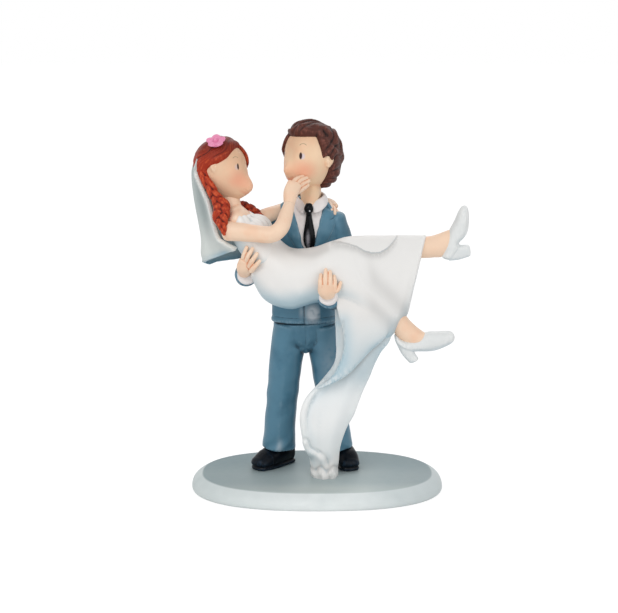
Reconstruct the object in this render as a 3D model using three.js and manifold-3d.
// A wedding cake topper: a groom in a blue-grey suit who carries his bride in his arms, on an oval base.
// It is a painted resin figure, cast in pieces that seat in one another with a thin glue line between them.
// Millimetres, +Z up, +X to the viewer's right, -Y towards the viewer, origin under the middle of the base.
// Left and right in the names are the wearer's own.

import * as THREE from "three";
import { mergeVertices } from "three/addons/utils/BufferGeometryUtils.js";
import Module from "manifold-3d";

const wasm = await Module();
wasm.setup();

// Driving sizes in millimetres

const SEAT = { line: 0.3, slack: 0.03, finest: 0.004 };
const BASE = { length: 110, width: 73, thickness: 7, flare: 5, footRadius: 1.4 };
// The chest height is measured over the base's top, and sets the pose of both figures.
const FIGURE = { chestHeight: 100 };
const PIN = { diameter: 2, length: 15, depthInBase: 4.6 };

const GROOM = {
  shoe: { widths: [7.4, 9.2, 9.6, 8.6], heights: [9, 10.4, 9.4, 6.4], toe: 2.6, heel: 2.2 },
  leg: {
    rightWidths: [15.4, 15, 14.1, 13.6, 14.8],
    leftWidths: [14.4, 13.2, 12.8, 12.4, 13],
    depths: [16.6, 15.6, 14, 13.4, 14.4],
  },
  hip: { widths: [2.4, 21, 27.4], depths: [10, 15.6, 17.4] },
  torso: { widths: [28.4, 27.8, 28.4, 29.4, 25.4, 14], depths: [18.8, 18.2, 19.2, 19.8, 17, 11], crown: 1.6 },
  lapel: { lift: 1.1 },
  shirt: { recess: 0.5, depth: 5 },
  tie: { knot: 3.6, waist: 2.4, blade: 5, tip: 1.2, thickness: 2.4 },
  collar: { wall: 1.3, height: 4.6 },
  sleeve: { widths: [11.6, 11, 10, 9.4, 8.6], cap: 3.4 },
  cuff: { width: 9.4, length: 2.6 },
  head: { depth: 12.2, width: 10.9, height: 13.6 },
  neck: { width: 9 },
  ear: { depth: 2, width: 1.4, height: 2.9 },
  hair: { depth: 13.5, width: 12.55, height: 13.6 },
};

const BRIDE = {
  head: { depth: 10.8, width: 10.1, height: 11.8 },
  neck: { width: 7.6 },
  ear: { depth: 2, width: 1.2, height: 2.8 },
  hair: { depth: 12, width: 11.8, height: 12.9 },
  braid: { widths: [5, 5.6, 5.2, 6.2, 5.6, 6, 4.6, 3.8, 1.8] },
  farBraid: { widths: [5.2, 4.6, 5.4, 4, 1.6] },
  torso: { widths: [15.4, 16.6, 19.4, 20.6, 13], depths: [12.6, 13.4, 13, 10.4, 8.4] },
  bust: { depth: 7, width: 8.6, height: 6 },
  arm: { widths: [8.4, 7.8, 7.2, 7, 6.6, 5.8, 4.8], cap: 2 },
  farArm: { widths: [7.6, 6.6, 6, 5.4, 4.8], cap: 2 },
  skirt: { depths: [15, 20, 24, 24.4, 23.6, 21.6, 19.6, 17, 15] },
  panel: { depths: [5, 5.4, 5.4, 5, 4.4, 3.6, 2.4] },
  train: { depths: [5, 5.6, 6.4, 6.6, 6.4, 6.4, 6.8, 7.4, 8.8, 11, 12.6] },
  veil: { wall: 1.7 },
  fold: { height: 0.8, acrossVeil: 4, roundTrain: 5 },
  leg: { depths: [8.6, 8.2, 7.6, 6.4, 5.4], lowerDepths: [8, 8.4, 8, 7.2, 6.2, 4.8] },
  shoe: { depths: [6.4, 7, 6.6, 7, 7, 6, 3.4] },
  shoeHeel: { depths: [6.4, 5.4, 4.8] },
  flower: { radius: 4.4, thickness: 3.2, lobe: 0.8, petals: 5 },
};

const HAND = { palm: [6.4, 7.6, 7], palmDepths: [4.6, 4.2, 3.2], finger: [2.4, 2.3, 1.8], tip: 0.9 };

const COLOURS = {
  resin: 0xd8d7d2,
  suit: 0x4a6b80,
  black: 0x14181c,
  shirt: 0xe6e0de,
  skin: 0xe6bd9a,
  brownHair: 0x4a2a26,
  redHair: 0x9c2d1c,
  gown: 0xe4e2df,
  veil: 0xb9c8cc,
  pink: 0xe58bb0,
  steel: 0xb8bcc0,
};

// Places in the pose, as shares of the chest height, from the middle of the base's top

const GROOM_SHARES = {
  rightShoe: [[-0.128, 0.142, 0.045], [-0.166, 0.104, 0.05], [-0.214, 0.05, 0.042], [-0.254, 0.012, 0.026]],
  leftShoe: [[0.106, 0.148, 0.045], [0.116, 0.108, 0.05], [0.132, 0.046, 0.042], [0.143, 0.004, 0.026]],
  rightLeg: [
    [-0.112, 0.08, 0.64], [-0.13, 0.08, 0.54], [-0.146, 0.08, 0.4], [-0.162, 0.08, 0.22],
    [-0.17, 0.082, 0.075],
  ],
  leftLeg: [
    [0.02, 0.08, 0.64], [0.032, 0.08, 0.54], [0.05, 0.08, 0.4], [0.076, 0.08, 0.22],
    [0.094, 0.082, 0.075],
  ],
  hips: [[-0.05, 0.08, 0.526], [-0.053, 0.08, 0.572], [-0.057, 0.08, 0.655]],
  torso: [
    [-0.057, 0.08, 0.658],
    [-0.056, 0.082, 0.8],
    [-0.052, 0.085, 0.95],
    [-0.048, 0.085, 1.06],
    [-0.042, 0.09, 1.14],
    [-0.034, 0.095, 1.185],
  ],
  shirtFront: [[-0.092, 1.15], [-0.025, 0.92], [0.034, 1.16], [-0.02, 1.26], [-0.06, 1.26]],
  rightLapel: [[-0.098, 1.15], [-0.135, 1.1], [-0.128, 1.06], [-0.03, 0.9], [-0.022, 0.92]],
  leftLapel: [[-0.022, 0.92], [-0.016, 0.9], [0.075, 1.07], [0.08, 1.11], [0.042, 1.165]],
  chestFront: [-0.03, -0.03, 1],
  tie: [[-0.037, -0.032, 1.175], [-0.036, -0.036, 1.145], [-0.034, -0.04, 1.05], [-0.033, -0.038, 0.985]],
  neck: [[-0.03, 0.09, 1.13], [-0.028, 0.086, 1.205], [-0.03, 0.08, 1.31]],
  rightSleeve: [
    [-0.16, 0.1, 1.1], [-0.235, 0.1, 0.98], [-0.295, 0.05, 0.885], [-0.306, -0.02, 0.878],
    [-0.3, -0.085, 0.888],
  ],
  leftSleeve: [
    [0.056, 0.092, 1.1], [0.098, 0.088, 0.98], [0.11, 0.03, 0.855], [0.08, -0.1, 0.8],
    [0.048, -0.21, 0.822],
  ],
  rightHand: [[-0.308, -0.115, 0.903], [-0.3, -0.158, 0.929], [-0.288, -0.178, 0.96]],
  rightFingers: [
    [[-0.3, -0.17, 0.966], [-0.296, -0.192, 0.986], [-0.282, -0.2, 1.019]],
    [[-0.286, -0.18, 0.956], [-0.278, -0.202, 0.983], [-0.259, -0.212, 1.016]],
    [[-0.274, -0.186, 0.941], [-0.262, -0.21, 0.966], [-0.241, -0.22, 0.996]],
    [[-0.266, -0.186, 0.921], [-0.252, -0.208, 0.941], [-0.232, -0.22, 0.966]],
  ],
  leftHand: [[0.046, -0.245, 0.835], [0.046, -0.264, 0.862], [0.048, -0.278, 0.892]],
  leftFingers: [
    [[0.021, -0.272, 0.87], [0.019, -0.282, 0.9], [0.021, -0.272, 0.925]],
    [[0.04, -0.28, 0.88], [0.039, -0.288, 0.915], [0.041, -0.274, 0.948]],
    [[0.06, -0.28, 0.88], [0.061, -0.286, 0.912], [0.06, -0.272, 0.94]],
    [[0.078, -0.27, 0.865], [0.08, -0.278, 0.893], [0.078, -0.266, 0.918]],
    [[0.07, -0.262, 0.855], [0.09, -0.268, 0.868], [0.101, -0.262, 0.892]],
  ],
  head: [-0.026, 0.08, 1.38],
};

const BRIDE_SHARES = {
  head: [-0.4, -0.06, 1.334],
  neck: [[-0.35, -0.09, 1.13], [-0.358, -0.082, 1.18], [-0.372, -0.075, 1.25]],
  torso: [
    [-0.225, -0.12, 0.975], [-0.265, -0.115, 1.03], [-0.305, -0.105, 1.09], [-0.335, -0.095, 1.135],
    [-0.35, -0.09, 1.16],
  ],
  bust: [-0.262, -0.118, 1.085],
  bodiceTop: [-0.28, -0.1, 1.123],
  rightArm: [
    [-0.372, -0.188, 1.092],
    [-0.32, -0.205, 1.09],
    [-0.26, -0.222, 1.086],
    [-0.19, -0.24, 1.085],
    [-0.15, -0.234, 1.114],
    [-0.131, -0.19, 1.158],
    [-0.119, -0.15, 1.195],
  ],
  leftArm: [
    [-0.27, -0.01, 1.105], [-0.215, 0.025, 1.128], [-0.155, 0.1, 1.14], [-0.08, 0.195, 1.16],
    [0.0, 0.21, 1.172],
  ],
  rightHand: [[-0.117, -0.135, 1.208], [-0.108, -0.102, 1.25], [-0.095, -0.078, 1.276]],
  rightFingers: [
    [[-0.108, -0.085, 1.268], [-0.09, -0.058, 1.292], [-0.063, -0.026, 1.3]],
    [[-0.098, -0.083, 1.262], [-0.074, -0.053, 1.285], [-0.047, -0.024, 1.294]],
    [[-0.09, -0.084, 1.252], [-0.064, -0.051, 1.27], [-0.037, -0.022, 1.281]],
    [[-0.086, -0.086, 1.24], [-0.062, -0.058, 1.253], [-0.042, -0.034, 1.264]],
  ],
  leftHand: [[0.02, 0.2, 1.165], [0.046, 0.17, 1.162], [0.062, 0.135, 1.152]],
  leftFingers: [
    [[0.052, 0.145, 1.164], [0.058, 0.095, 1.16], [0.058, 0.055, 1.148]],
    [[0.064, 0.143, 1.152], [0.072, 0.093, 1.146], [0.074, 0.055, 1.132]],
    [[0.076, 0.14, 1.138], [0.085, 0.095, 1.13], [0.088, 0.06, 1.114]],
  ],
  skirtTop: [
    [-0.175, -0.11, 1.055],
    [-0.11, -0.12, 1.008],
    [-0.02, -0.12, 1.01],
    [0.06, -0.12, 1.036],
    [0.13, -0.11, 1.054],
    [0.24, -0.09, 1.056],
    [0.35, -0.07, 1.054],
    [0.436, -0.065, 1.053],
    [0.459, -0.06, 1.052],
  ],
  skirtBottom: [
    [-0.275, -0.12, 0.905],
    [-0.21, -0.13, 0.8],
    [-0.11, -0.14, 0.752],
    [0.0, -0.15, 0.782],
    [0.105, -0.16, 0.76],
    [0.185, -0.17, 0.66],
    [0.252, -0.165, 0.62],
    [0.302, -0.155, 0.632],
    [0.38, -0.14, 0.73],
  ],
  panelLeft: [
    [0.07, -0.2, 0.9],
    [0.078, -0.225, 0.78],
    [0.102, -0.23, 0.68],
    [0.107, -0.23, 0.61],
    [0.09, -0.225, 0.54],
    [0.05, -0.218, 0.472],
    [-0.01, -0.205, 0.425],
  ],
  panelRight: [
    [0.3, -0.2, 0.86],
    [0.302, -0.205, 0.74],
    [0.286, -0.205, 0.645],
    [0.226, -0.21, 0.588],
    [0.176, -0.218, 0.535],
    [0.12, -0.218, 0.482],
    [0.03, -0.205, 0.435],
  ],
  trainLeft: [
    [0.07, -0.14, 0.8],
    [0.075, -0.16, 0.66],
    [0.074, -0.17, 0.54],
    [0.02, -0.175, 0.455],
    [-0.045, -0.175, 0.38],
    [-0.072, -0.165, 0.305],
    [-0.069, -0.15, 0.235],
    [-0.052, -0.125, 0.16],
    [-0.029, -0.095, 0.095],
    [-0.02, -0.08, 0.035],
    [-0.024, -0.074, -0.03],
  ],
  trainRight: [
    [0.31, -0.16, 0.78],
    [0.312, -0.165, 0.645],
    [0.266, -0.165, 0.57],
    [0.23, -0.16, 0.492],
    [0.193, -0.15, 0.398],
    [0.161, -0.14, 0.308],
    [0.123, -0.125, 0.225],
    [0.098, -0.1, 0.14],
    [0.092, -0.08, 0.07],
    [0.089, -0.068, 0.03],
    [0.09, -0.066, -0.03],
  ],
  // Each leg and shoe lies between two edge curves that are seen from the side.
  rightLegTop: [
    [0.3, -0.145, 0.79], [0.353, -0.14, 0.744], [0.391, -0.14, 0.7], [0.425, -0.14, 0.668],
    [0.46, -0.14, 0.643], [0.48, -0.14, 0.62],
  ],
  rightLegBack: [
    [0.24, -0.145, 0.72], [0.303, -0.14, 0.679], [0.328, -0.14, 0.649], [0.354, -0.14, 0.618],
    [0.388, -0.14, 0.6], [0.43, -0.14, 0.598],
  ],
  leftLegTop: [
    [0.4, -0.06, 1.045], [0.46, -0.06, 1.046], [0.506, -0.06, 1.056], [0.561, -0.06, 1.077],
    [0.585, -0.06, 1.08],
  ],
  leftLegBack: [
    [0.4, -0.06, 0.958], [0.453, -0.06, 0.96], [0.491, -0.06, 0.962], [0.529, -0.06, 0.965],
    [0.575, -0.06, 0.985],
  ],
  rightShoeTop: [
    [0.324, -0.14, 0.649], [0.358, -0.14, 0.621], [0.413, -0.14, 0.621], [0.46, -0.14, 0.649],
    [0.51, -0.14, 0.653], [0.559, -0.14, 0.654], [0.576, -0.14, 0.644],
  ],
  rightShoeSole: [
    [0.336, -0.14, 0.601], [0.378, -0.14, 0.575], [0.427, -0.14, 0.573], [0.489, -0.14, 0.575],
    [0.534, -0.14, 0.59], [0.568, -0.14, 0.609], [0.58, -0.14, 0.627],
  ],
  rightHeelFront: [[0.398, -0.14, 0.59], [0.41, -0.14, 0.562], [0.428, -0.14, 0.536]],
  rightHeelBack: [[0.33, -0.14, 0.62], [0.359, -0.14, 0.562], [0.396, -0.14, 0.52]],
  leftShoeTop: [
    [0.526, -0.06, 0.96], [0.533, -0.06, 0.992], [0.547, -0.06, 1.043], [0.561, -0.06, 1.077],
    [0.581, -0.06, 1.116], [0.599, -0.06, 1.158], [0.613, -0.06, 1.18],
  ],
  leftShoeSole: [
    [0.567, -0.06, 0.949], [0.602, -0.06, 1.003], [0.597, -0.06, 1.023], [0.623, -0.06, 1.053],
    [0.635, -0.06, 1.086], [0.637, -0.06, 1.141], [0.63, -0.06, 1.18],
  ],
  leftHeelFront: [[0.575, -0.06, 1.003], [0.609, -0.06, 1.01], [0.644, -0.06, 1.011]],
  leftHeelBack: [[0.559, -0.06, 0.95], [0.601, -0.06, 0.955], [0.649, -0.06, 0.97]],
  braid: [
    [-0.486, -0.13, 1.345], [-0.447, -0.155, 1.27], [-0.412, -0.165, 1.2], [-0.408, -0.18, 1.145],
    [-0.392, -0.2, 1.09],
  ],
  farBraid: [[-0.36, -0.02, 1.18], [-0.31, -0.03, 1.172], [-0.27, -0.035, 1.155], [-0.235, -0.04, 1.135]],
  veilNear: [
    [-0.505, -0.12, 1.35], [-0.452, -0.15, 1.2], [-0.412, -0.165, 1.06], [-0.378, -0.165, 1.015],
    [-0.338, -0.15, 1],
  ],
  veilBack: [
    [-0.516, -0.03, 1.355], [-0.514, -0.03, 1.21], [-0.486, -0.03, 1.05], [-0.486, -0.03, 0.965],
    [-0.47, -0.04, 0.925],
  ],
  veilFar: [
    [-0.495, 0.05, 1.36], [-0.44, 0.07, 1.21], [-0.38, 0.08, 1.07], [-0.34, 0.075, 0.99],
    [-0.325, 0.06, 0.955],
  ],
};

// The way the faces look, in degrees from the viewer, and the soft marks on them:
// each mark has its bearing, lift and spread in degrees and its height in millimetres.
const GROOM_LOOK = -52;
const BRIDE_LOOK = 69;
const GROOM_MARKS = [
  { bearing: 0, lift: -16, spread: 9, height: 1.3 },
  { bearing: 0, lift: -38, spread: 34, height: 1.6 },
  { bearing: 0, lift: 4, spread: 22, height: -0.5 },
];
const BRIDE_MARKS = [
  { bearing: 0, lift: -26, spread: 14, height: 2.8 },
  { bearing: 0, lift: -36, spread: 34, height: 1.6 },
  { bearing: 0, lift: 0, spread: 26, height: -0.8 },
];
const GROOM_HAIR_MARKS = [
  { bearing: -20, lift: 38, spread: 22, height: 1.1 },
  { bearing: 20, lift: 60, spread: 16, height: 1 },
  { bearing: 80, lift: 50, spread: 16, height: 0.9 },
  { bearing: 130, lift: 30, spread: 16, height: 0.9 },
  { bearing: 150, lift: -10, spread: 16, height: 1 },
  { bearing: 125, lift: -30, spread: 14, height: 0.8 },
  { bearing: -130, lift: 20, spread: 18, height: 0.9 },
  { bearing: -80, lift: 45, spread: 18, height: 0.9 },
];
const BRIDE_HAIR_MARKS = [{ bearing: -90, lift: 30, spread: 40, height: 0.5 }];

// Hairlines, as shares of the head's half depth and half height, forwards and upwards from its middle
const GROOM_HAIRLINE_SHARES = [
  [0.31, 0.62], [0.27, 0.3], [0.18, -0.1], [-0.04, 0], [-0.22, -0.3], [-0.27, -1.1],
];
const BRIDE_HAIRLINE_SHARES = [
  [0.62, 0.76], [0.5, 0.4], [0.02, 0.2], [-0.3, 0.08], [-0.26, -0.4], [-0.28, -1.1],
];
const BRIDE_FLOWER_SHARES = { forward: 0.03, outward: -0.6, up: 0.95 };
const GROOM_EAR_SHARES = { forward: -0.1, outward: 0.97, up: -0.16 };
const BRIDE_EAR_SHARES = { forward: -0.12, outward: 0.97, up: 0.04 };

// The base's wall, as shares of its height over the rounded foot, and how square its oval and wall are
const BASE_WALL_SHARES = [0.35, 0.65, 0.85, 0.95, 1];
const BASE_ROUNDNESS = 2.4;
const BASE_WALL_POWER = 2.4;
// The flower's rings, as shares of its radius and thickness
const FLOWER_RING_SHARES = [[0.8, -0.5], [1, 0], [0.75, 0.35], [0.3, 0.3], [0.2, 0.5]];

const UP = new THREE.Vector3(0, 0, 1);
const TOWARDS_VIEWER = new THREE.Vector3(0, -1, 0);
const RIGHTWARDS = new THREE.Vector3(1, 0, 0);
const COLLAR_NORMAL = new THREE.Vector3(0, -0.28, 1).normalize();
const CHEST_NORMAL = new THREE.Vector3(0.8, 0, 0.6);
const BODICE_NORMAL = new THREE.Vector3(-0.15, 0, 1).normalize();
const FLOWER_NORMAL = new THREE.Vector3(-0.1, -0.5, 0.9).normalize();

// Helpers for places and solids

// A place in the pose, in millimetres.
function at([x, y, z]) {
  return new THREE.Vector3(x, y, z).multiplyScalar(FIGURE.chestHeight).addScaledVector(UP, BASE.thickness);
}

function smooth(points) {
  return new THREE.CatmullRomCurve3(points, false, "catmullrom", 0.5);
}

function middleOf(points) {
  return points.reduce((sum, p) => sum.add(p), new THREE.Vector3()).divideScalar(points.length);
}

// A solid from a closed geometry.
function solidOf(geometry) {
  geometry.deleteAttribute("normal");
  geometry.deleteAttribute("uv");
  const closed = mergeVertices(geometry);
  const vertProperties = closed.getAttribute("position").array;
  const triVerts = new Uint32Array(closed.getIndex().array);
  const made = closedFrom(vertProperties, triVerts);
  return made.volume() >= 0 ? made : closedFrom(vertProperties, triVerts.reverse());
}

// No edge shorter than the finest one is kept when solids are joined or cut.
function closedFrom(vertProperties, triVerts) {
  const mesh = new wasm.Mesh({ numProp: 3, vertProperties, triVerts, tolerance: SEAT.finest });
  return new wasm.Manifold(mesh);
}

// A closed skin over a stack of rings, with a pole at either end.
function skin(rings, poles = [middleOf(rings[0]), middleOf(rings.at(-1))]) {
  const sides = rings[0].length;
  const index = [];
  rings.slice(1).forEach((_, row) => {
    for (let i = 0; i < sides; i++) {
      const a = row * sides + i;
      const b = row * sides + ((i + 1) % sides);
      index.push(a, b, b + sides, a, b + sides, a + sides);
    }
  });
  const pole = rings.length * sides;
  const lastRow = pole - sides;
  for (let i = 0; i < sides; i++) {
    const j = (i + 1) % sides;
    index.push(pole, j, i, pole + 1, lastRow + i, lastRow + j);
  }
  const geometry = new THREE.BufferGeometry().setFromPoints([...rings.flat(), ...poles]);
  return solidOf(geometry.setIndex(index));
}

// The angles of a ring's points, and of the ring that rounds off a domed end.
function ringAngles(sides) {
  return Array.from({ length: sides }, (_, i) => (i / sides) * 2 * Math.PI);
}
const DOME_ANGLES = [Math.PI / 4];

// A limb: oval rings along a smooth path, with a dome of the given length on either end.
// The widths lie across both the path and up; the depths lie along up.
function limb({ path, widths, depths = widths, up = UP, sides = 10, steps = 6, domes = [0, 0] }) {
  const centre = smooth(path.map(at));
  const sizes = smooth(widths.map((w, i) => new THREE.Vector3(w, depths[i], 0)));
  const ring = (t, scale, shift) => {
    const along = centre.getTangent(t);
    const side = along.clone().cross(up).normalize();
    const top = side.clone().cross(along);
    const half = sizes.getPoint(t).multiplyScalar(scale / 2);
    const middle = centre.getPoint(t).addScaledVector(along, shift);
    return ringAngles(sides).map((angle) =>
      middle
        .clone()
        .addScaledVector(side, half.x * Math.cos(angle))
        .addScaledVector(top, half.y * Math.sin(angle)),
    );
  };
  const dome = (end, sign) =>
    domes[end] > 0 ? DOME_ANGLES.map((a) => ring(end, Math.cos(a), sign * domes[end] * Math.sin(a))) : [];
  const pole = (end, sign) => centre.getPoint(end).addScaledVector(centre.getTangent(end), sign * domes[end]);
  const body = Array.from({ length: steps + 1 }, (_, i) => ring(i / steps, 1, 0));
  return skin([...dome(0, -1), ...body, ...dome(1, 1).reverse()], [pole(0, -1), pole(1, 1)]);
}

// A body between two edge curves: oval rings whose long axis runs from one curve to the other.
// folds is the number of soft folds round each ring.
function leaf({ from, to, depths, sides = 18, steps = 12, folds = 0, foldHeight = 0 }) {
  const [first, second] = [smooth(from.map(at)), smooth(to.map(at))];
  const sizes = smooth(depths.map((d) => new THREE.Vector3(d, 0, 0)));
  const middle = (t) => first.getPoint(t).add(second.getPoint(t)).divideScalar(2);
  const small = 1 / (2 * steps);
  const rings = Array.from({ length: steps + 1 }, (_, row) => {
    const t = row / steps;
    const half = second.getPoint(t).sub(first.getPoint(t)).divideScalar(2);
    const along = middle(Math.min(t + small, 1)).sub(middle(Math.max(t - small, 0)));
    const across = half.clone().cross(along).normalize();
    return ringAngles(sides).map((angle) => {
      const fold = foldHeight * Math.min(1, 2 * t) * Math.cos(folds * angle);
      return middle(t)
        .addScaledVector(half, Math.cos(angle))
        .addScaledVector(across, (sizes.getPoint(t).x / 2 + fold) * Math.sin(angle));
    });
  });
  return skin(rings);
}

// An egg with soft marks pushed out of it or into it, in a frame of forward, side and up.
function egg({ centre, frame, half, marks = [], jaw = 0, columns = 16, rows = 10 }) {
  const geometry = new THREE.SphereGeometry(1, columns, rows);
  const position = geometry.getAttribute("position");
  for (let i = 0; i < position.count; i++) {
    const [y, z, x] = new THREE.Vector3().fromBufferAttribute(position, i).toArray();
    const direction = new THREE.Vector3(x, y, z);
    const narrow = 1 - jaw * Math.max(0, -z);
    const out = new THREE.Vector3(x * half.depth, y * half.width * narrow, z * half.height);
    out.addScaledVector(direction, pushOf(marks, direction));
    const placed = centre
      .clone()
      .addScaledVector(frame.forward, out.x)
      .addScaledVector(frame.side, out.y)
      .addScaledVector(frame.up, out.z);
    position.setXYZ(i, ...placed.toArray());
  }
  return solidOf(geometry);
}

function pushOf(marks, direction) {
  return marks.reduce((sum, { bearing, lift, spread, height }) => {
    const [b, l] = [bearing, lift].map(THREE.MathUtils.degToRad);
    const aim = new THREE.Vector3(Math.cos(l) * Math.cos(b), Math.cos(l) * Math.sin(b), Math.sin(l));
    const away = direction.angleTo(aim) / THREE.MathUtils.degToRad(spread);
    return sum + height * Math.exp(-away * away);
  }, 0);
}

// A frame whose forward looks the given number of degrees to the viewer's right of the viewer.
function lookingAt(degrees) {
  const turn = THREE.MathUtils.degToRad(degrees);
  const forward = new THREE.Vector3(Math.sin(turn), -Math.cos(turn), 0);
  return { forward, side: UP.clone().cross(forward), up: UP };
}

// A thick sheet over a grid of points, with a rim all round.
function sheet(rows, wall) {
  const [high, wide] = [rows.length, rows[0].length];
  const point = (r, c) => rows[THREE.MathUtils.clamp(r, 0, high - 1)][THREE.MathUtils.clamp(c, 0, wide - 1)];
  const face = (side) =>
    rows.flatMap((row, r) =>
      row.map((p, c) => {
        const down = point(r + 1, c).clone().sub(point(r - 1, c));
        const across = point(r, c + 1).clone().sub(point(r, c - 1));
        return p.clone().addScaledVector(down.cross(across).normalize(), (side * wall) / 2);
      }),
    );
  const count = high * wide;
  const index = [];
  for (let r = 0; r + 1 < high; r++) {
    for (let c = 0; c + 1 < wide; c++) {
      const a = r * wide + c;
      index.push(a, a + wide + 1, a + 1, a, a + wide, a + wide + 1);
      index.push(count + a, count + a + 1, count + a + wide + 1);
      index.push(count + a, count + a + wide + 1, count + a + wide);
    }
  }
  const rim = [];
  for (let c = 0; c < wide; c++) rim.push(c);
  for (let r = 1; r < high; r++) rim.push(r * wide + wide - 1);
  for (let c = wide - 2; c >= 0; c--) rim.push((high - 1) * wide + c);
  for (let r = high - 2; r > 0; r--) rim.push(r * wide);
  rim.forEach((a, i) => {
    const b = rim[(i + 1) % rim.length];
    index.push(a, b, count + b, a, count + b, count + a);
  });
  const geometry = new THREE.BufferGeometry().setFromPoints([...face(1), ...face(-1)]);
  return solidOf(geometry.setIndex(index));
}

// A flat outline in the plane of two directions, carried both ways across it.
function slab(outline, origin, across, upward, reach) {
  const shape = new THREE.Shape(outline.map(([a, b]) => new THREE.Vector2(a, b)));
  const geometry = new THREE.ExtrudeGeometry(shape, { depth: 2 * reach, bevelEnabled: false });
  const axis = across.clone().cross(upward);
  const start = origin.clone().addScaledVector(axis, -reach);
  const placed = new THREE.Matrix4().makeBasis(across, upward, axis).setPosition(start);
  return solidOf(geometry.applyMatrix4(placed));
}

// An outline on the front of the chest, given in chest heights, as a slab of the given depth.
function chestSlab(outline, reach) {
  const points = outline.map(([x, z]) => at([x, 0, z])).map((p) => [p.x, p.z]);
  const middle = new THREE.Vector3(0, at(GROOM_SHARES.chestFront).y, 0);
  return slab(points, middle, RIGHTWARDS, UP, reach);
}

// The half of space below a plane, as a large box.
function below(point, normal) {
  const size = BASE.length * 3;
  const geometry = new THREE.BoxGeometry(size, size, size);
  geometry.applyQuaternion(new THREE.Quaternion().setFromUnitVectors(UP, normal));
  const middle = point.clone().addScaledVector(normal, -size / 2);
  return solidOf(geometry.translate(...middle.toArray()));
}

// The same solid with every corner moved out along its normal.
function swell(solid, distance) {
  const { vertProperties, triVerts, numProp } = solid.getMesh();
  const count = vertProperties.length / numProp;
  const position = new Float32Array(count * 3);
  for (let i = 0; i < count; i++) position.set(vertProperties.subarray(i * numProp, i * numProp + 3), i * 3);
  const geometry = new THREE.BufferGeometry();
  geometry.setAttribute("position", new THREE.BufferAttribute(position, 3));
  geometry.setIndex(new THREE.BufferAttribute(triVerts, 1));
  geometry.computeVertexNormals();
  const normal = geometry.getAttribute("normal").array;
  const moved = position.map((x, i) => x + distance * normal[i]);
  return closedFrom(moved, triVerts);
}

function joined(solids) {
  return solids.reduce((sum, s) => sum.add(s));
}

function largestOf(solid) {
  return solid.decompose().reduce((best, s) => (s.volume() > best.volume() ? s : best));
}

// Base and pins

// The base's edge is a rounded oval; its wall swells out from the foot and draws in to the top.
function basePlate() {
  const { length, width, thickness, flare, footRadius } = BASE;
  const ring = (inset, z) =>
    ringAngles(36).map((angle) => {
      const [c, s] = [Math.cos(angle), Math.sin(angle)];
      const x = Math.sign(c) * Math.abs(c) ** (2 / BASE_ROUNDNESS) * (length / 2 - inset);
      const y = Math.sign(s) * Math.abs(s) ** (2 / BASE_ROUNDNESS) * (width / 2 - inset);
      return new THREE.Vector3(x, y, z);
    });
  const foot = [ring(footRadius, 0), ring(0, footRadius)];
  const rise = thickness - footRadius;
  const wall = BASE_WALL_SHARES.map((share) => {
    const inset = flare * share ** BASE_WALL_POWER;
    return ring(inset, footRadius + rise * share);
  });
  return skin([...foot, ...wall]);
}

// The steel pin that carries each leg stands in the base, runs through the shoe and ends in the trousers.
function legPin(leg) {
  const foot = at(leg.at(-1)).setZ(BASE.thickness - PIN.depthInBase);
  const geometry = new THREE.CylinderGeometry(PIN.diameter / 2, PIN.diameter / 2, PIN.length, 12);
  geometry.rotateX(Math.PI / 2);
  return solidOf(geometry.translate(foot.x, foot.y, foot.z + PIN.length / 2));
}

// Groom

function groomShoe(path) {
  const { widths, heights, toe, heel } = GROOM.shoe;
  const foot = limb({ path, widths, depths: heights, domes: [heel, toe], sides: 12 });
  return foot.subtract(below(new THREE.Vector3(0, 0, BASE.thickness + SEAT.line), UP));
}

function groomTrousers() {
  const { rightWidths, leftWidths, depths } = GROOM.leg;
  const leg = { depths, up: TOWARDS_VIEWER, sides: 12 };
  const hips = limb({ path: GROOM_SHARES.hips, ...GROOM.hip, up: TOWARDS_VIEWER, sides: 14, steps: 2 });
  const rightLeg = limb({ path: GROOM_SHARES.rightLeg, widths: rightWidths, ...leg });
  const leftLeg = limb({ path: GROOM_SHARES.leftLeg, widths: leftWidths, ...leg });
  return joined([hips, rightLeg, leftLeg]);
}

function groomTorso() {
  const { widths, depths, crown } = GROOM.torso;
  const domes = [0, crown];
  return limb({ path: GROOM_SHARES.torso, widths, depths, up: TOWARDS_VIEWER, sides: 18, steps: 8, domes });
}

// A lapel is a thin plate that follows the chest.
function groomLapel(torso, outline) {
  const cutter = chestSlab(outline, GROOM.torso.depths[3] / 2);
  const plate = swell(torso, GROOM.lapel.lift + SEAT.line).intersect(cutter);
  return largestOf(plate.subtract(swell(torso, SEAT.line + SEAT.slack)));
}

function groomShirt(torso) {
  const { recess, depth } = GROOM.shirt;
  return largestOf(swell(torso, -recess).intersect(chestSlab(GROOM_SHARES.shirtFront, depth)));
}

function groomTie() {
  const { knot, waist, blade, tip, thickness } = GROOM.tie;
  const depths = [thickness, thickness, thickness, tip];
  const widths = [knot, waist, blade, tip];
  return limb({ path: GROOM_SHARES.tie, widths, depths, up: TOWARDS_VIEWER, steps: 6, domes: [tip, tip] });
}

function groomNeck(grow = 0) {
  const width = GROOM.neck.width + 2 * grow;
  const widths = [width, width, width];
  return limb({ path: GROOM_SHARES.neck, widths, up: TOWARDS_VIEWER, sides: 12, steps: 3 });
}

// The collar is a band round the neck, higher at the nape and open to the tie in front.
function groomCollar() {
  const { wall, height } = GROOM.collar;
  const top = at(GROOM_SHARES.neck[1]);
  const bottom = top.clone().addScaledVector(COLLAR_NORMAL, -height);
  const band = groomNeck(wall + SEAT.line);
  return band.intersect(below(top, COLLAR_NORMAL)).subtract(below(bottom, COLLAR_NORMAL));
}

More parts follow.
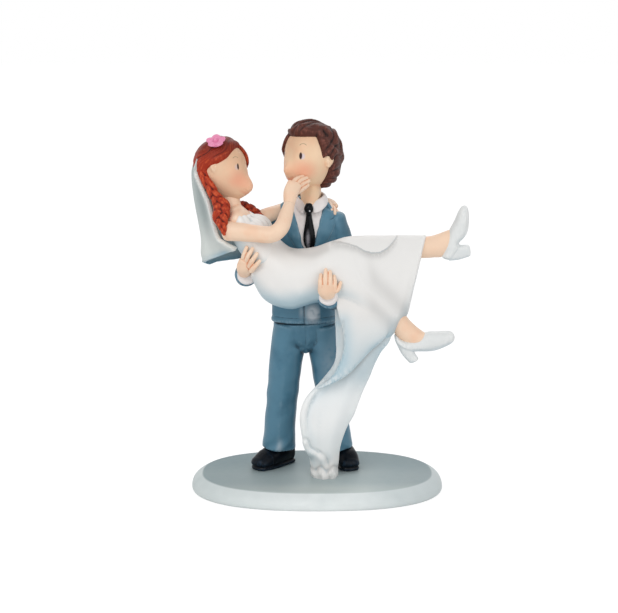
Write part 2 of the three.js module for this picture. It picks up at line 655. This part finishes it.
function groomSleeve(path) {
  const { widths, cap } = GROOM.sleeve;
  return limb({ path, widths, domes: [cap, 0], steps: 8 });
}

// A cuff shows between the sleeve's end and the hand.
function groomCuff(path) {
  const curve = smooth(path.map(at));
  const along = curve.getTangent(1);
  const middle = curve.getPoint(1);
  const half = GROOM.cuff.width / 2;
  const geometry = new THREE.CylinderGeometry(half, half, GROOM.cuff.length, 14);
  geometry.applyQuaternion(new THREE.Quaternion().setFromUnitVectors(new THREE.Vector3(0, 1, 0), along));
  middle.addScaledVector(along, GROOM.cuff.length / 2 + SEAT.line);
  return solidOf(geometry.translate(...middle.toArray()));
}

function hand(palmPath, fingerPaths, up = TOWARDS_VIEWER) {
  const { palm, palmDepths, finger, tip } = HAND;
  const domes = [tip, tip];
  const body = limb({ path: palmPath, widths: palm, depths: palmDepths, up, sides: 8, steps: 3, domes });
  const fingers = fingerPaths.map((path) =>
    limb({ path, widths: finger, up: RIGHTWARDS, sides: 6, steps: 2, domes }),
  );
  return joined([body, ...fingers]);
}

function ears(centre, frame, head, half, shares) {
  return [-1, 1].map((sign) => {
    const middle = centre
      .clone()
      .addScaledVector(frame.forward, shares.forward * head.depth)
      .addScaledVector(frame.side, sign * shares.outward * head.width)
      .addScaledVector(frame.up, shares.up * head.height);
    return egg({ centre: middle, frame, half, columns: 8, rows: 5 });
  });
}

function groomHead() {
  const [centre, frame] = [at(GROOM_SHARES.head), lookingAt(GROOM_LOOK)];
  const face = egg({ centre, frame, half: GROOM.head, marks: GROOM_MARKS, jaw: 0.12 });
  return joined([face, groomNeck(), ...ears(centre, frame, GROOM.head, GROOM.ear, GROOM_EAR_SHARES)]);
}

// What the hair leaves open: everything in front of the hairline, right across the head.
function faceOpening(centre, frame, head, hairline) {
  const far = 2 * head.depth;
  const line = hairline.map(([forward, up]) => [forward * head.depth, up * head.height]);
  const outline = [...line, [far, line.at(-1)[1]], [far, line[0][1]]];
  return slab(outline, centre, frame.forward, frame.up, 2 * head.width);
}

function groomHair() {
  const [centre, frame] = [at(GROOM_SHARES.head), lookingAt(GROOM_LOOK)];
  const raised = centre.clone().addScaledVector(frame.forward, (GROOM.head.depth - GROOM.hair.depth) / 2);
  raised.addScaledVector(UP, GROOM.hair.width - GROOM.head.width);
  const cap = egg({ centre: raised, frame, half: GROOM.hair, marks: GROOM_HAIR_MARKS, columns: 14, rows: 9 });
  return cap.subtract(faceOpening(centre, frame, GROOM.head, GROOM_HAIRLINE_SHARES));
}

// Bride

function brideHead() {
  const [centre, frame] = [at(BRIDE_SHARES.head), lookingAt(BRIDE_LOOK)];
  const face = egg({ centre, frame, half: BRIDE.head, marks: BRIDE_MARKS, jaw: 0.14 });
  return joined([face, ...ears(centre, frame, BRIDE.head, BRIDE.ear, BRIDE_EAR_SHARES)]);
}

function brideNeck() {
  const width = BRIDE.neck.width;
  return limb({ path: BRIDE_SHARES.neck, widths: [width, width, width], up: TOWARDS_VIEWER, steps: 2 });
}

function brideTorsoForm() {
  const { widths, depths } = BRIDE.torso;
  return limb({ path: BRIDE_SHARES.torso, widths, depths, up: CHEST_NORMAL, sides: 14, steps: 5 });
}

function bodiceRoom() {
  return below(at(BRIDE_SHARES.bodiceTop), BODICE_NORMAL);
}

// Her shoulders and neck stand on the strapless bodice.
function brideTorso() {
  return largestOf(joined([brideTorsoForm(), brideNeck()]).subtract(bodiceRoom()));
}

function brideBodice() {
  const [centre, frame] = [at(BRIDE_SHARES.bust), lookingAt(BRIDE_LOOK)];
  const bust = egg({ centre, frame, half: BRIDE.bust, columns: 10, rows: 6 });
  return joined([brideTorsoForm(), bust]).intersect(bodiceRoom());
}

function brideHair() {
  const [centre, frame] = [at(BRIDE_SHARES.head), lookingAt(BRIDE_LOOK)];
  const raised = centre.clone().addScaledVector(frame.forward, BRIDE.head.depth - BRIDE.hair.depth);
  raised.addScaledVector(UP, BRIDE.hair.height - BRIDE.head.height);
  const cap = egg({ centre: raised, frame, half: BRIDE.hair, marks: BRIDE_HAIR_MARKS, columns: 14, rows: 9 });
  return cap.subtract(faceOpening(centre, frame, BRIDE.head, BRIDE_HAIRLINE_SHARES));
}

function braid(path, widths) {
  const domes = [widths[0] / 2, widths.at(-1) / 2];
  return limb({ path, widths, up: TOWARDS_VIEWER, sides: 8, steps: 10, domes });
}

// The flower has petals round a raised middle.
function brideFlower() {
  const { radius, thickness, lobe, petals } = BRIDE.flower;
  const frame = lookingAt(BRIDE_LOOK);
  const centre = at(BRIDE_SHARES.head)
    .addScaledVector(frame.forward, BRIDE_FLOWER_SHARES.forward * BRIDE.hair.depth)
    .addScaledVector(frame.side, BRIDE_FLOWER_SHARES.outward * BRIDE.hair.width)
    .addScaledVector(frame.up, BRIDE_FLOWER_SHARES.up * BRIDE.hair.height);
  const across = RIGHTWARDS.clone().projectOnPlane(FLOWER_NORMAL).normalize();
  const along = FLOWER_NORMAL.clone().cross(across);
  const rings = FLOWER_RING_SHARES.map(([share, lift]) =>
    ringAngles(3 * petals).map((angle) => {
      const r = share * (radius + lobe * Math.cos(petals * angle));
      return centre
        .clone()
        .addScaledVector(across, r * Math.cos(angle))
        .addScaledVector(along, r * Math.sin(angle))
        .addScaledVector(FLOWER_NORMAL, lift * thickness);
    }),
  );
  return skin(rings);
}

function brideSkirt() {
  const { skirtTop, skirtBottom, panelLeft, panelRight } = BRIDE_SHARES;
  const lap = leaf({ from: skirtBottom, to: skirtTop, depths: BRIDE.skirt.depths });
  const panel = leaf({ from: panelLeft, to: panelRight, depths: BRIDE.panel.depths, sides: 12, steps: 9 });
  return joined([lap, panel]);
}

function brideTrain() {
  const { trainLeft, trainRight } = BRIDE_SHARES;
  const hung = leaf({
    from: trainLeft,
    to: trainRight,
    depths: BRIDE.train.depths,
    folds: BRIDE.fold.roundTrain,
    foldHeight: BRIDE.fold.height,
    sides: 20,
    steps: 14,
  });
  return hung.subtract(below(new THREE.Vector3(0, 0, BASE.thickness + SEAT.line), UP));
}

// The veil falls from the crown round her back, in soft folds that grow towards its hem.
function brideVeil() {
  const { veilNear, veilBack, veilFar } = BRIDE_SHARES;
  const [near, back, far] = [veilNear, veilBack, veilFar].map((path) => smooth(path.map(at)));
  const [high, wide] = [9, 16];
  const rows = Array.from({ length: high + 1 }, (_, r) => {
    const t = r / high;
    const arc = new THREE.CatmullRomCurve3([near.getPoint(t), back.getPoint(t), far.getPoint(t)]);
    const middle = near.getPoint(t).add(far.getPoint(t)).divideScalar(2);
    return Array.from({ length: wide + 1 }, (_, c) => {
      const u = c / wide;
      const p = arc.getPoint(u);
      const out = p.clone().sub(middle).setZ(0).normalize();
      const fold = Math.cos(BRIDE.fold.acrossVeil * u * 2 * Math.PI);
      return p.addScaledVector(out, BRIDE.fold.height * t * fold);
    });
  });
  return sheet(rows, BRIDE.veil.wall);
}

function brideArm(path, { widths, cap }) {
  return limb({ path, widths, domes: [cap, 0], steps: 10 });
}

function brideLeg(top, back, depths) {
  return leaf({ from: top, to: back, depths, sides: 12, steps: 6 });
}

// A court shoe has a block heel under its back.
function brideShoe(top, sole, heelFront, heelBack) {
  const foot = leaf({ from: top, to: sole, depths: BRIDE.shoe.depths, sides: 14, steps: 9 });
  const block = leaf({ from: heelFront, to: heelBack, depths: BRIDE.shoeHeel.depths, sides: 8, steps: 3 });
  return joined([foot, block]);
}

// Assembly: a piece keeps its own form where it comes early in this list, and gives way to those before it.

const torso = groomTorso();
const { rightLegTop, rightLegBack, leftLegTop, leftLegBack } = BRIDE_SHARES;
const { rightShoeTop, rightShoeSole, rightHeelFront, rightHeelBack } = BRIDE_SHARES;
const { leftShoeTop, leftShoeSole, leftHeelFront, leftHeelBack } = BRIDE_SHARES;
const pieces = [
  ["right_leg_pin", legPin(GROOM_SHARES.rightLeg), "steel"],
  ["left_leg_pin", legPin(GROOM_SHARES.leftLeg), "steel"],
  ["base_plate", basePlate(), "resin"],
  ["groom_trousers", groomTrousers(), "suit"],
  ["groom_right_shoe", groomShoe(GROOM_SHARES.rightShoe), "black"],
  ["groom_left_shoe", groomShoe(GROOM_SHARES.leftShoe), "black"],
  ["bride_right_hand", hand(BRIDE_SHARES.rightHand, BRIDE_SHARES.rightFingers), "skin"],
  ["bride_left_hand", hand(BRIDE_SHARES.leftHand, BRIDE_SHARES.leftFingers, UP), "skin"],
  ["bride_right_arm", brideArm(BRIDE_SHARES.rightArm, BRIDE.arm), "skin"],
  ["bride_left_arm", brideArm(BRIDE_SHARES.leftArm, BRIDE.farArm), "skin"],
  ["groom_head", groomHead(), "skin"],
  ["groom_hair", groomHair(), "brownHair"],
  ["bride_head", brideHead(), "skin"],
  ["bride_flower", brideFlower(), "pink"],
  ["bride_right_braid", braid(BRIDE_SHARES.braid, BRIDE.braid.widths), "redHair"],
  ["bride_left_braid", braid(BRIDE_SHARES.farBraid, BRIDE.farBraid.widths), "redHair"],
  ["bride_hair", brideHair(), "redHair"],
  ["bride_torso", brideTorso(), "skin"],
  ["groom_right_hand", hand(GROOM_SHARES.rightHand, GROOM_SHARES.rightFingers), "skin"],
  ["groom_left_hand", hand(GROOM_SHARES.leftHand, GROOM_SHARES.leftFingers), "skin"],
  ["bride_bodice", brideBodice(), "gown"],
  ["bride_gown_skirt", brideSkirt(), "gown"],
  ["bride_gown_train", brideTrain(), "gown"],
  ["bride_right_shoe", brideShoe(rightShoeTop, rightShoeSole, rightHeelFront, rightHeelBack), "resin"],
  ["bride_left_shoe", brideShoe(leftShoeTop, leftShoeSole, leftHeelFront, leftHeelBack), "resin"],
  ["bride_right_leg", brideLeg(rightLegTop, rightLegBack, BRIDE.leg.lowerDepths), "skin"],
  ["bride_left_leg", brideLeg(leftLegTop, leftLegBack, BRIDE.leg.depths), "skin"],
  ["groom_right_cuff", groomCuff(GROOM_SHARES.rightSleeve), "shirt"],
  ["groom_left_cuff", groomCuff(GROOM_SHARES.leftSleeve), "shirt"],
  ["groom_tie", groomTie(), "black"],
  ["groom_collar", groomCollar(), "shirt"],
  ["groom_right_sleeve", groomSleeve(GROOM_SHARES.rightSleeve), "suit"],
  ["groom_left_sleeve", groomSleeve(GROOM_SHARES.leftSleeve), "suit"],
  ["groom_right_lapel", groomLapel(torso, GROOM_SHARES.rightLapel), "suit"],
  ["groom_left_lapel", groomLapel(torso, GROOM_SHARES.leftLapel), "suit"],
  ["groom_shirt", groomShirt(torso), "shirt"],
  ["groom_jacket", torso.subtract(chestSlab(GROOM_SHARES.shirtFront, GROOM.shirt.depth)), "suit"],
  ["bride_veil", brideVeil(), "veil"],
];

function boxOf(solid) {
  const { min, max } = solid.boundingBox();
  return new THREE.Box3(new THREE.Vector3(...min), new THREE.Vector3(...max));
}

// What is left of a form once it stands clear of a neighbour. In a tight hollow the swollen neighbour can
// fall short of the neighbour itself, which is then cut away too.
function seatAgainst(form, { solid, swollen }) {
  const clear = form.subtract(swollen);
  return clear.intersect(solid).isEmpty() ? clear : clear.subtract(solid);
}

const FINISHES = { steel: [0.3, 1], black: [0.25, 0] };
const topper = new THREE.Group();
const seated = [];
for (const [name, form, colour] of pieces) {
  const reach = boxOf(form).expandByScalar(SEAT.line);
  const neighbours = seated.filter((other) => other.box.intersectsBox(reach));
  const solid = largestOf(neighbours.reduce(seatAgainst, form));
  seated.push({ box: boxOf(solid), solid, swollen: swell(solid, SEAT.line) });
  const { vertProperties, triVerts } = solid.getMesh();
  const geometry = new THREE.BufferGeometry();
  geometry.setAttribute("position", new THREE.BufferAttribute(vertProperties, 3));
  geometry.setIndex(new THREE.BufferAttribute(triVerts, 1));
  geometry.computeVertexNormals();
  const [roughness, metalness] = FINISHES[colour] ?? [0.55, 0];
  const mesh = new THREE.Mesh(
    geometry,
    new THREE.MeshStandardMaterial({ color: COLOURS[colour], roughness, metalness }),
  );
  mesh.name = name;
  topper.add(mesh);
}

export default topper;
